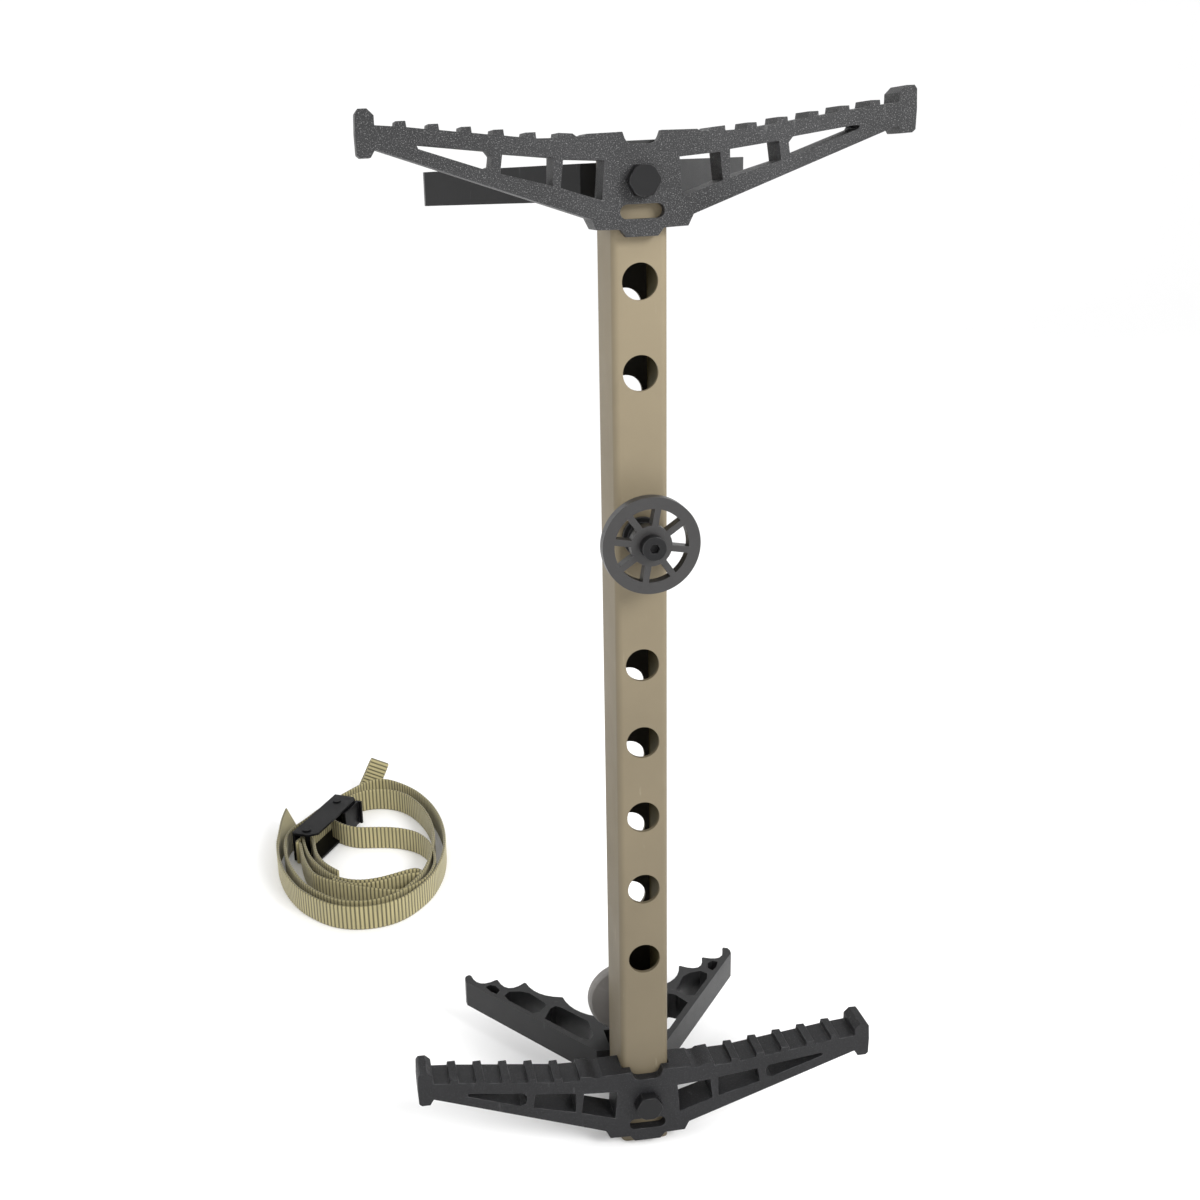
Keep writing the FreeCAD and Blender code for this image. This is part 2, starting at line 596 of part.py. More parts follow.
def headed_pin(x, y):
    pin = rod_z(PIVOT_R, 0, BUCKLE_HEIGHT, x, y)
    top = rod_z(RIVET_HEAD_R, BUCKLE_HEIGHT, BUCKLE_HEIGHT + RIVET_HEAD_HEIGHT, x, y)
    foot = rod_z(RIVET_HEAD_R, RIVET_FOOT_GAP - BUCKLE_LIFT, 0, x, y)
    return turned(pin.fuse(top).fuse(foot))


def make_buckle_pin():
    return headed_pin(PIVOT_X, PIVOT_Y)


def make_buckle_rivet():
    return headed_pin(RIVET_X, RIVET_Y)


def make_buckle_lever():
    """Cam barrel on the pivot, with a web out to a thumb pad along the buckle's open side."""
    x, y = PIVOT_X, PIVOT_Y
    low = BUCKLE_PLATE + LEVER_SIDE_GAP
    high = BUCKLE_HEIGHT - BUCKLE_PLATE - LEVER_SIDE_GAP
    face = y + LEVER_PAD_FACE
    inside = face + LEVER_PAD_THICKNESS
    end = x + LEVER_PAD_END
    barrel = rod_z(LEVER_BARREL_R, low, high, x, y)
    web = box(x - LEVER_WEB_HALF, x + LEVER_WEB_HALF, face, y, low, high)
    pad = box(x + LEVER_PAD_START, end, face, inside, low, high)
    lip = box(end - LEVER_LIP_THICKNESS, end, face - LEVER_LIP, face, low, high)
    body = barrel.fuse(web).fuse(pad).fuse(lip).removeSplitter()
    return turned(body.cut(rod_z(PIVOT_R + PIVOT_CLEARANCE, low - 1, high + 1, x, y)))


def main():
    os.makedirs("parts", exist_ok=True)
    solids = {
        "main_tube": make_main_tube(),
        "upper_end_cap": make_upper_end_cap(),
        "lower_end_cap": make_lower_end_cap(),
        "upper_step": make_step(UPPER_BOLT_Z),
        "lower_step": make_step(LOWER_BOLT_Z),
        "upper_bracket": make_bracket(UPPER_BOLT_Z),
        "lower_bracket": make_bracket(LOWER_BOLT_Z),
        "upper_bolt": make_through_bolt(UPPER_BOLT_Z),
        "lower_bolt": make_through_bolt(LOWER_BOLT_Z),
        "upper_washer": make_washer(UPPER_BOLT_Z),
        "lower_washer": make_washer(LOWER_BOLT_Z),
        "upper_lock_nut": make_lock_nut(UPPER_BOLT_Z),
        "lower_lock_nut": make_lock_nut(LOWER_BOLT_Z),
        "wheel_spool": make_wheel_spool(),
        "strap_wheel": make_strap_wheel(),
        "wheel_bolt": make_wheel_bolt(),
        "wheel_nut": make_wheel_nut(),
        "rear_button": make_rear_button(),
        "button_screw": make_button_screw(),
        "strap_coil": make_strap_coil(),
        "strap_tail": make_strap_tail(),
        "strap_loop": make_strap_loop(),
        "buckle_frame": make_buckle_frame(),
        "buckle_pin": make_buckle_pin(),
        "buckle_rivet": make_buckle_rivet(),
        "buckle_lever": make_buckle_lever(),
    }
    for name, shape in solids.items():
        shape.exportStep("parts/" + name + ".step")
        box_ = shape.BoundBox
        print(name, shape.isValid(), len(shape.Solids), round(shape.Volume, 1),
              [round(v, 2) for v in (box_.XMin, box_.XMax, box_.YMin, box_.YMax, box_.ZMin, box_.ZMax)])


main()
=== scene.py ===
import math

import bmesh
import bpy
from mathutils import Euler, Matrix, Vector


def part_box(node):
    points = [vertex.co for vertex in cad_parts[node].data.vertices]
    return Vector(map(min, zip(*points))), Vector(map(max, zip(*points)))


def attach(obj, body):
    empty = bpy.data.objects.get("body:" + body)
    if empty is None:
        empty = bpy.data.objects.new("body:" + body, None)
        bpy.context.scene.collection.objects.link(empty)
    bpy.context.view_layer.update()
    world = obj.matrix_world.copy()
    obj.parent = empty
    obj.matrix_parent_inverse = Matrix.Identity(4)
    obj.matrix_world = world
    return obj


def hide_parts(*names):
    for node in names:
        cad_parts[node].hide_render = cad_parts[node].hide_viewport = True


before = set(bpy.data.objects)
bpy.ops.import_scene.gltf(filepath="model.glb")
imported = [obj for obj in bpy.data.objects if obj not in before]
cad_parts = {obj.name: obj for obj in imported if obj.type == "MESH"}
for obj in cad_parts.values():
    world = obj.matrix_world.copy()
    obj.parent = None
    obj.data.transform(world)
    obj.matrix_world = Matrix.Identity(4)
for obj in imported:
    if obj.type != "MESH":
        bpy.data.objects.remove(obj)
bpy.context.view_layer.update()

MM = 0.001

# ---------------------------------------------------------------------------------------------
# Tube. A drawn aluminium rectangle, drilled through its front wall, with a second row of holes
# set lower in its rear wall. It is powder coated a flat tan outside, darker towards the foot with
# painted shade. Inside, the bore is painted shade, nearly black, with painted light on its side walls.


def shader(name):
    """A new material, its node tree and its surface shader."""
    material = bpy.data.materials.new(name)
    material.use_nodes = True
    tree = material.node_tree
    return material, tree, tree.nodes["Principled BSDF"]


def put(tree, kind, sockets=None, **settings):
    """A node with its settings, and with each named socket set to a value or fed by an output."""
    made = tree.nodes.new(kind)
    for key, value in settings.items():
        setattr(made, key, value)
    for key, value in (sockets or {}).items():
        if isinstance(value, bpy.types.NodeSocket):
            tree.links.new(value, made.inputs[key])
        else:
            made.inputs[key].default_value = value
    return made


def ramp(tree, factor, stops):
    """A colour ramp fed by factor, with (place, grey level) stops."""
    made = put(tree, "ShaderNodeValToRGB", {"Fac": factor})
    while len(made.color_ramp.elements) < len(stops):
        made.color_ramp.elements.new(0.5)
    for element, (place, level) in zip(made.color_ramp.elements, stops):
        element.position = place
        element.color = (level, level, level, 1)
    return made.outputs["Color"]


def mixed(tree, factor, a, b, blend="MIX"):
    """Two colours, or a colour output and a colour, mixed by factor."""
    made = put(tree, "ShaderNodeMix", data_type="RGBA", blend_type=blend)
    for socket, value in ((made.inputs[0], factor), (made.inputs[6], a), (made.inputs[7], b)):
        if isinstance(value, bpy.types.NodeSocket):
            tree.links.new(value, socket)
        else:
            socket.default_value = value
    return made.outputs[2]


def noise(tree, size, detail=4.0, rough=0.55, stretch=(1, 1, 1)):
    """Noise in the piece's own coordinates, with blotches about size metres across."""
    place = put(tree, "ShaderNodeTexCoord").outputs["Object"]
    turned = put(tree, "ShaderNodeMapping", {"Vector": place, "Scale": stretch}).outputs["Vector"]
    made = put(tree, "ShaderNodeTexNoise",
               {"Vector": turned, "Scale": 1 / size, "Detail": detail, "Roughness": rough})
    return made.outputs["Fac"]


MOTTLE_SIZE = 45 * MM
SCUFF_SIZE = 4 * MM
RUB_SIZE = 6 * MM
SHEEN_SIZE = 20 * MM
SHEEN_SPREAD = 0.08
FADE_HEIGHT = 480 * MM


def mottled(tree, colour, mottle):
    """The coat's colour, a little darker and lighter in soft patches."""
    dark = tuple(c * (1 - mottle) for c in colour) + (1,)
    light = tuple(min(1.0, c * (1 + mottle)) for c in colour) + (1,)
    cloud = ramp(tree, noise(tree, MOTTLE_SIZE), [(0.3, 0.0), (0.7, 1.0)])
    return mixed(tree, cloud, dark, light)


def shaded_downwards(tree, base, foot):
    """The colour with painted shade, darker towards the foot of the stick, where it keeps only the share
    foot.
    """
    place = put(tree, "ShaderNodeTexCoord").outputs["Object"]
    height = put(tree, "ShaderNodeSeparateXYZ", {"Vector": place}).outputs["Z"]
    painted_shade_level = put(tree, "ShaderNodeMapRange", {"Value": height, "From Min": 0.0, "From Max": FADE_HEIGHT,
                                            "To Min": foot, "To Max": 1.0}).outputs["Result"]
    shade = put(tree, "ShaderNodeCombineColor", {"Red": painted_shade_level, "Green": painted_shade_level, "Blue": painted_shade_level}).outputs["Color"]
    return mixed(tree, 1.0, base, shade, blend="MULTIPLY")


def scuffed(tree, base, worn, wear):
    """The colour with fine upright scuffs, and rubbed to the worn colour along the edges."""
    streaks = noise(tree, SCUFF_SIZE, detail=8.0, stretch=(1, 1, 0.15))
    base = mixed(tree, ramp(tree, streaks, [(0.66, 0.0), (0.74, 0.35)]), base, worn + (1,))
    edge = put(tree, "ShaderNodeAttribute", attribute_name="edge").outputs["Fac"]
    rubbed = ramp(tree, noise(tree, RUB_SIZE, detail=5.0), [(0.42, 0.0), (0.62, wear)])
    rubbed = put(tree, "ShaderNodeMath", {0: edge, 1: rubbed}, operation="MULTIPLY").outputs[0]
    return mixed(tree, rubbed, base, worn + (1,))


def coated_metal(name, colour, worn, grain, depth, rough, mottle=0.12, speckle=0.0, metal=0.0, wear=0.5,
                 shine=0.5, foot=None):
    """Metal with a coat on it: mottled, grained, lightly scuffed, rubbed along its edges, and with any
    painted glints and foot shade.
    """
    material, tree, surface = shader(name)
    base = mottled(tree, colour, mottle)
    # Painted shade: where foot is given, the colour darkens towards the foot of the stick.
    if foot:
        base = shaded_downwards(tree, base, foot)
    if speckle:
        # Painted glints: light specks mixed into the colour where the grain would catch the light.
        glints = ramp(tree, noise(tree, grain * 0.6, detail=2.0), [(0.56, 0.0), (0.72, speckle)])
        base = mixed(tree, glints, base, worn + (1,))
    tree.links.new(scuffed(tree, base, worn, wear), surface.inputs["Base Color"])
    sheen = put(tree, "ShaderNodeMapRange", {"Value": noise(tree, SHEEN_SIZE), "To Min": rough - SHEEN_SPREAD,
                                             "To Max": rough + SHEEN_SPREAD})
    tree.links.new(sheen.outputs["Result"], surface.inputs["Roughness"])
    fine = noise(tree, grain, detail=6.0, rough=0.7)
    bump = put(tree, "ShaderNodeBump", {"Height": fine, "Strength": 1.0, "Distance": depth})
    tree.links.new(bump.outputs["Normal"], surface.inputs["Normal"])
    surface.inputs["Metallic"].default_value = metal
    surface.inputs["Specular IOR Level"].default_value = shine
    return material


def finished(piece, body, slot, *nodes):
    """Put a finished piece on its body in place of the CAD nodes it stands for."""
    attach(piece, body)
    if nodes:
        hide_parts(*nodes)
    return piece


def smoothed(piece, angle=35):
    """Shade a piece smooth, except across edges sharper than the angle in degrees."""
    piece.data.polygons.foreach_set("use_smooth", [True] * len(piece.data.polygons))
    piece.data.set_sharp_from_angle(angle=math.radians(angle))


def plain_mesh(name, source):
    """The evaluated shape of an object, as a plain mesh piece of its own."""
    seen = source.evaluated_get(bpy.context.evaluated_depsgraph_get())
    mesh = bpy.data.meshes.new_from_object(seen)
    piece = bpy.data.objects.new(name, mesh)
    bpy.context.scene.collection.objects.link(piece)
    bpy.data.objects.remove(source)
    return piece


WELD_GAP = 0.005 * MM
SAME_PLANE = math.radians(1.0)
SHARP_EDGE = math.radians(38)


def eased(name, node, width, segments=3):
    """A copy of a CAD node with its edges broken, and its edge faces marked for wear."""
    work = bpy.data.objects.new(name + "_work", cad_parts[node].data.copy())
    bpy.context.scene.collection.objects.link(work)
    shape = bmesh.new()
    shape.from_mesh(work.data)
    bmesh.ops.remove_doubles(shape, verts=shape.verts, dist=WELD_GAP)
    bmesh.ops.dissolve_limit(shape, angle_limit=SAME_PLANE, verts=shape.verts, edges=shape.edges)
    for face in shape.faces:
        face.material_index = 0
    shape.to_mesh(work.data)
    shape.free()
    smoothed(work)
    work.data.materials.clear()
    work.data.materials.append(None)
    work.data.materials.append(None)
    bevel = work.modifiers.new("broken_edges", "BEVEL")
    bevel.width = width
    bevel.segments = segments
    bevel.limit_method = "ANGLE"
    bevel.angle_limit = SHARP_EDGE
    bevel.material = 1
    bevel.use_clamp_overlap = True
    bevel.harden_normals = True
    piece = plain_mesh(name, work)
    mesh = piece.data
    edge = mesh.attributes.new("edge", "FLOAT", "FACE")
    edge.data.foreach_set("value", [float(p.material_index) for p in mesh.polygons])
    mesh.polygons.foreach_set("material_index", [0] * len(mesh.polygons))
    mesh.materials.clear()
    return piece


TAN = (0.198, 0.162, 0.102)
TAN_RUBBED = (0.27, 0.235, 0.17)
# The tan coat's foot share paints shade that darkens the tube towards its foot.
tan_coat = coated_metal("tan_powder_coat", TAN, TAN_RUBBED, grain=0.9 * MM, depth=0.035 * MM,
                        rough=0.55, mottle=0.06, wear=0.35, shine=0.35, foot=0.56)
# Painted shade inside the bore: a nearly black coat for its front and rear walls, and a dim tan with painted
# light for its side walls.
bore_shade = coated_metal("bore_painted_shade", (0.025, 0.021, 0.015), (0.05, 0.045, 0.036), grain=1.5 * MM,
                         depth=0.05 * MM, rough=0.6, shine=0.3)
bore_side_light = coated_metal("bore_side_painted_light", (0.17, 0.14, 0.07), (0.22, 0.18, 0.1), grain=1.5 * MM,
                         depth=0.05 * MM, rough=0.7, shine=0.3)

TUBE_WALL = 2.0 * MM
tube = eased("drilled_tube", "main_tube", 0.35 * MM)
tube.data.materials.append(tan_coat)
tube.data.materials.append(bore_shade)
tube.data.materials.append(bore_side_light)
tube_low, tube_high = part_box("main_tube")
BORE_SLACK = 0.01 * MM
# Faces inside the bore take the painted shade, and the side walls facing across it take the painted light.
for face in tube.data.polygons:
    x, y, z = face.center
    inside_x = tube_low[0] + TUBE_WALL - BORE_SLACK < x < tube_high[0] - TUBE_WALL + BORE_SLACK
    inside_y = tube_low[1] + TUBE_WALL - BORE_SLACK < y < tube_high[1] - TUBE_WALL + BORE_SLACK
    if inside_x and inside_y:
        face.material_index = 2 if abs(face.normal.x) > 0.8 else 1
    else:
        face.material_index = 0
finished(tube, "frame", "tube", "main_tube")

# ---------------------------------------------------------------------------------------------
# End caps. Moulded black plugs pushed into the tube, the upper one with a thin flange that
# covers the tube's cut edge.

cap_plastic = coated_metal("black_cap_plastic", (0.012, 0.012, 0.012), (0.05, 0.05, 0.05), grain=0.5 * MM,
                           depth=0.02 * MM, rough=0.45, wear=0.3)
for name, node in (("flanged_cap", "upper_end_cap"), ("plug_cap", "lower_end_cap")):
    cap = eased(name, node, 0.3 * MM)
    cap.data.materials.append(cap_plastic)
    finished(cap, "frame", "cap_plastic", node)

# ---------------------------------------------------------------------------------------------
# Steps. Two like aluminium castings, toothed along the top for boots, with windows through the arms.
# Their thin dark grey coat shows the mould's sand grain with painted glints, more on the upper one,
# and painted shade makes the lower one darker.

CAST_GREY = (0.018, 0.018, 0.019)
LOWER_WORN_AND_GLINT = (0.09, 0.09, 0.093)
LOWER_SHADED_GREY = (0.01, 0.01, 0.011)
CAST_BRIGHT = (0.19, 0.19, 0.19)
upper_cast = coated_metal("upper_cast_grey", CAST_GREY, CAST_BRIGHT, grain=0.85 * MM, depth=0.22 * MM,
                          rough=0.5, mottle=0.25, speckle=0.8, metal=0.1, wear=0.3, shine=0.32)
# The lower step is a painted-shade copy of the same casting: a darker coat with fewer painted glints.
lower_cast_shaded = coated_metal("lower_cast_painted_shade", LOWER_SHADED_GREY, LOWER_WORN_AND_GLINT, grain=0.85 * MM, depth=0.14 * MM,
                          rough=0.5, mottle=0.2, speckle=0.4, metal=0.05, wear=0.3, shine=0.24)
for name, node, cast in (
    ("upper_cast_step", "upper_step", upper_cast),
    ("lower_cast_step", "lower_step", lower_cast_shaded),
):
    step = eased(name, node, 0.6 * MM)
    step.data.materials.append(cast)
    finished(step, "frame", "step_metal", node)

# ---------------------------------------------------------------------------------------------
# Tree brackets. Flat V-shaped extrusions, cut to length across the section and black anodised,
# with scalloped teeth towards the trunk and pockets down through each arm.

bracket_black = coated_metal("black_bracket", (0.012, 0.012, 0.0125), (0.08, 0.08, 0.08), grain=1.1 * MM,
                             depth=0.05 * MM, rough=0.42, metal=0.05, wear=0.35, shine=0.3)
for name, node in (("upper_tree_bracket", "upper_bracket"), ("lower_tree_bracket", "lower_bracket")):
    bracket = eased(name, node, 0.45 * MM)
    bracket.data.materials.append(bracket_black)
    finished(bracket, "frame", "bracket_metal", node)

# ---------------------------------------------------------------------------------------------
# Through bolts. Black hex bolts pass through step, tube and bracket into washers and lock nuts.

black_oxide = coated_metal("black_oxide_steel", (0.007, 0.007, 0.0075), (0.06, 0.06, 0.06), grain=0.6 * MM,
                           depth=0.02 * MM, rough=0.4, metal=0.05, wear=0.4, shine=0.22)
for end in ("upper", "lower"):
    for name, node in (("hex_bolt", "bolt"), ("flat_washer", "washer"), ("locking_nut", "lock_nut")):
        fastener = eased(f"{end}_{name}", f"{end}_{node}", 0.3 * MM, segments=2)
        fastener.data.materials.append(black_oxide)
        finished(fastener, "frame", "black_steel", f"{end}_{node}")

# ---------------------------------------------------------------------------------------------
# Strap wheel. An eight-spoked pressed wheel turns on a socket-headed bolt, held off the tube by
# a turned spool, so that the strap can be wound behind it.

wheel_grey = coated_metal("satin_wheel_grey", (0.027, 0.026, 0.026), (0.11, 0.11, 0.11), grain=0.8 * MM,
                          depth=0.03 * MM, rough=0.4, metal=0.1, wear=0.4, shine=0.4)
spool_dark = coated_metal("dark_spool", (0.02, 0.02, 0.02), (0.08, 0.08, 0.08), grain=0.6 * MM,
                          depth=0.02 * MM, rough=0.38, metal=0.2, shine=0.3)
for name, node, body, finish, slot in (
    ("spoked_wheel", "strap_wheel", "wheel", wheel_grey, "wheel_metal"),
    ("turned_spool", "wheel_spool", "frame", spool_dark, "spool_metal"),
    ("wheel_socket_bolt", "wheel_bolt", "frame", black_oxide, "black_steel"),
    ("wheel_hex_nut", "wheel_nut", "frame", black_oxide, "black_steel"),
):
    part = eased(name, node, 0.35 * MM)
    part.data.materials.append(finish)
    finished(part, body, slot, node)

# ---------------------------------------------------------------------------------------------
# Rear button. A pale grey moulded button on a stem behind the tube, which the strap's loop
# hooks over. One countersunk screw holds it.

button_grey = coated_metal("pale_grey_plastic", (0.17, 0.16, 0.15), (0.28, 0.27, 0.26), grain=0.5 * MM,
                           depth=0.02 * MM, rough=0.5, wear=0.3)
button = eased("strap_button", "rear_button", 0.5 * MM)
button.data.materials.append(button_grey)
finished(button, "frame", "button_grey", "rear_button")
screw = eased("strap_button_screw", "button_screw", 0.25 * MM, segments=2)
screw.data.materials.append(black_oxide)
finished(screw, "frame", "black_steel", "button_screw")

# ---------------------------------------------------------------------------------------------
# Strap. Olive-tan nylon webbing woven with cross ribs, coiled on edge. The long strap starts at its
# pointed free end, passes behind the cam buckle and then through it, and comes back inside the coil
# to end in the buckle. The short strap is sewn round the buckle's anchor pin.

WEB_WIDTH = 18.6 * MM
WEB_THICK = 1.7 * MM
RIB_PITCH = 3.1 * MM
RIB_RISE = 0.26 * MM
RIB_LEVEL = 0.6
SAMPLES_PER_RIB = 6.0
YARN = 0.85 * MM
TURN_GAP = 9.3 * MM
MIDDLE = WEB_WIDTH / 2
BUCKLE_TURN = math.radians(60)
COIL_HALF = (64.8 * MM, 111.0 * MM)
FLAT_FACING = math.radians(139.7)
FLAT_REACH = 58.8 * MM
FLAT_SIDE = 0.3
FLAT_CROWDING = 0.55
BUCKLE_CENTRE = Vector((-163.7 * MM, 255.4 * MM, 0))
COIL_CENTRE = Vector((-137.2 * MM, 227 * MM, 0))


def beside_buckle(run):
    """Points given in millimetres along the buckle and outwards from the buckle's middle."""
    turn = Matrix.Rotation(BUCKLE_TURN, 3, "Z")
    return [BUCKLE_CENTRE + turn @ Vector((along * MM, out * MM, MIDDLE)) for along, out in run]


def on_floor(run):
    """Points of a run of webbing standing on its edge on the floor, given in millimetres."""
    return [Vector((x * MM, y * MM, MIDDLE)) for x, y in run]


def on_coil(degrees, inset):
    """A point on the coil's outline, flat beside the buckle, set in from the outermost turn."""
    angle = math.radians(degrees)
    across, deep = COIL_HALF[0] - inset, COIL_HALF[1] - inset
    reach = across * deep / math.hypot(deep * math.cos(angle), across * math.sin(angle))
    facing = math.cos(angle - FLAT_FACING)
    if facing > FLAT_SIDE:
        reach = min(reach, (FLAT_REACH - inset * FLAT_CROWDING) / facing)
    return COIL_CENTRE + Vector((reach * math.cos(angle), reach * math.sin(angle), MIDDLE))


def turn_of_coil(start, stop, inset, drift=0.0, step=20):
    """Points round part of a turn, whose inset grows by drift over a whole turn."""
    return [on_coil(d, inset + drift * (d - start) / 360) for d in range(start, stop + 1, step)]


def route(name, points, leans=(), widths=()):
    """One smooth open spline through the strap's route, its first points leaning over or narrowed."""
    curve = bpy.data.curves.new(name, "CURVE")
    curve.dimensions = "3D"
    spline = curve.splines.new("NURBS")
    spline.points.add(len(points) - 1)
    for knot, point in zip(spline.points, points):
        knot.co = (*point, 1)
    for knot, lean in zip(spline.points, leans):
        knot.tilt = math.radians(lean)
    for knot, width in zip(spline.points, widths):
        knot.radius = width
    spline.order_u = 3
    spline.use_endpoint_u = True
    spline.resolution_u = 8
    made = bpy.data.objects.new(name, curve)
    bpy.context.scene.collection.objects.link(made)
    return made


def line_of(curve):
    """The points down the middle of a route."""
    seen = curve.evaluated_get(bpy.context.evaluated_depsgraph_get())
    mesh = bpy.data.meshes.new_from_object(seen)
    points = [tuple(v.co) for v in mesh.vertices]
    bpy.data.meshes.remove(mesh)
    return points


def grown_tree(name, sizes):
    """A geometry tree that takes a shape and named sizes, and gives a shape."""
    tree = bpy.data.node_groups.new(name, "GeometryNodeTree")
    tree.interface.new_socket("Geometry", in_out="INPUT", socket_type="NodeSocketGeometry")
    for label, value in sizes.items():
        kind = "NodeSocketMaterial" if isinstance(value, bpy.types.Material) else "NodeSocketFloat"
        tree.interface.new_socket(label, in_out="INPUT", socket_type=kind)
    tree.interface.new_socket("Geometry", in_out="OUTPUT", socket_type="NodeSocketGeometry")
    return tree, tree.nodes.new("NodeGroupInput").outputs, tree.nodes.new("NodeGroupOutput").inputs


def grown(name, source, tree, sizes):
    """Run a geometry tree on an object and keep the result as a plain mesh piece."""
    modifier = source.modifiers.new(tree.name, "NODES")
    modifier.node_group = tree
    for item in tree.interface.items_tree:
        if item.in_out == "INPUT" and item.name in sizes:
            modifier[item.identifier] = sizes[item.name]
    return plain_mesh(name, source)


def arithmetic(tree, operation, a, b=0.0):
    """One sum on two numbers or outputs."""
    made = put(tree, "ShaderNodeMath", {0: a, 1: b}, operation=operation)
    return made.outputs[0]


def webbing_tree(name, sizes, lay):
    """Webbing along a route: a flat band, on edge or bent over, with a rib across it at each pitch."""
    tree, given, result = grown_tree(name, sizes)
    step = arithmetic(tree, "DIVIDE", given["Rib pitch"], SAMPLES_PER_RIB)
    spaced = put(tree, "GeometryNodeResampleCurve", {"Curve": given["Geometry"], "Length": step},
                 mode="LENGTH")
    upright = put(tree, "GeometryNodeSetCurveNormal", {"Curve": spaced.outputs["Curve"]}, mode=lay)
    walked = put(tree, "GeometryNodeSplineParameter").outputs["Length"]
    marked = put(tree, "GeometryNodeStoreNamedAttribute",
                 {"Geometry": upright.outputs["Curve"], "Name": "along", "Value": walked},
                 data_type="FLOAT", domain="POINT")
    section = put(tree, "GeometryNodeCurvePrimitiveQuadrilateral",
                  {"Width": given["Thickness"], "Height": given["Width"]}, mode="RECTANGLE")
    corner = arithmetic(tree, "MULTIPLY", given["Thickness"], 0.35)
    rounded = put(tree, "GeometryNodeFilletCurve",
                  {"Curve": section.outputs["Curve"], "Radius": corner, "Count": 2}, mode="POLY")
    fine = put(tree, "GeometryNodeResampleCurve", {"Curve": rounded.outputs["Curve"], "Count": 36},
               mode="COUNT")
    swept = {"Curve": marked.outputs["Geometry"], "Profile Curve": fine.outputs["Curve"], "Fill Caps": True}
    band = put(tree, "GeometryNodeCurveToMesh", swept)
    walk = put(tree, "GeometryNodeInputNamedAttribute", {"Name": "along"}, data_type="FLOAT")
    ribs = arithmetic(tree, "DIVIDE", walk.outputs["Attribute"], given["Rib pitch"])
    phase = arithmetic(tree, "MULTIPLY", ribs, math.pi)
    wave = arithmetic(tree, "ABSOLUTE", arithmetic(tree, "SINE", phase))
    lift = arithmetic(tree, "MULTIPLY", arithmetic(tree, "SUBTRACT", wave, RIB_LEVEL), given["Rib rise"])
    facing = put(tree, "GeometryNodeInputNormal").outputs["Normal"]
    push = put(tree, "ShaderNodeVectorMath", {0: facing, "Scale": lift}, operation="SCALE").outputs["Vector"]
    ribbed = put(tree, "GeometryNodeSetPosition", {"Geometry": band.outputs["Mesh"], "Offset": push})
    real = put(tree, "GeometryNodeRealizeInstances", {"Geometry": ribbed.outputs["Geometry"]})
    dressed = put(tree, "GeometryNodeSetMaterial",
                  {"Geometry": real.outputs["Geometry"], "Material": given["Material"]})
    tree.links.new(dressed.outputs["Geometry"], result["Geometry"])
    return tree


def webbing_cloth():
    """Woven nylon: painted highlight on the ribs, painted shade between them, dark on the upper edge, warp
    across.
    """
    material, tree, surface = shader("olive_tan_webbing")
    along = put(tree, "ShaderNodeAttribute", attribute_name="along").outputs["Fac"]
    ribs = arithmetic(tree, "MULTIPLY", arithmetic(tree, "DIVIDE", along, RIB_PITCH), math.pi)
    ribs = arithmetic(tree, "ABSOLUTE", arithmetic(tree, "SINE", ribs))
    place = put(tree, "ShaderNodeTexCoord").outputs["Object"]
    height = put(tree, "ShaderNodeSeparateXYZ", {"Vector": place}).outputs["Z"]
    yarn = arithmetic(tree, "MULTIPLY", height, math.pi / YARN)
    yarn = arithmetic(tree, "ABSOLUTE", arithmetic(tree, "SINE", yarn))
    # Painted shade between the ribs and painted highlight on them stand in for the light on the rib relief.
    shade = ramp(tree, ribs, [(0.25, 0.0), (0.65, 0.7), (0.95, 1.0)])
    base = mixed(tree, shade, (0.045, 0.04, 0.016, 1), (0.43, 0.375, 0.19, 1))
    seams = arithmetic(tree, "MULTIPLY", arithmetic(tree, "SUBTRACT", 1.0, yarn), 0.35)
    base = mixed(tree, seams, base, (0.16, 0.145, 0.08, 1))
    blotch = ramp(tree, noise(tree, 0.018), [(0.35, 0.0), (0.75, 0.35)])
    base = mixed(tree, blotch, base, (0.2, 0.18, 0.095, 1))
    facing = put(tree, "ShaderNodeNewGeometry").outputs["Normal"]
    upward = put(tree, "ShaderNodeSeparateXYZ", {"Vector": facing}).outputs["Z"]
    selvedge = ramp(tree, upward, [(0.5, 0.0), (0.85, 0.75)])
    base = mixed(tree, selvedge, base, (0.075, 0.066, 0.03, 1))
    tree.links.new(base, surface.inputs["Base Color"])
    weave = arithmetic(tree, "ADD", arithmetic(tree, "MULTIPLY", yarn, 0.6), noise(tree, 0.35 * MM))
    bump = put(tree, "ShaderNodeBump", {"Height": weave, "Strength": 0.8, "Distance": 0.12 * MM})
    tree.links.new(bump.outputs["Normal"], surface.inputs["Normal"])
    surface.inputs["Roughness"].default_value = 0.86
    surface.inputs["Sheen Weight"].default_value = 0.25
    return material


def webbing_piece(name, curve, tree, sizes):
    """A finished run of webbing that rides with the strap."""
    piece = grown(name, curve, tree, sizes)
    smoothed(piece, 60)
    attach(piece, "strap")
    return piece


web_sizes = {"Width": WEB_WIDTH, "Thickness": WEB_THICK, "Rib pitch": RIB_PITCH, "Rib rise": RIB_RISE,
             "Material": webbing_cloth()}
web_tree = webbing_tree("webbing_on_edge", web_sizes, "Z_UP")

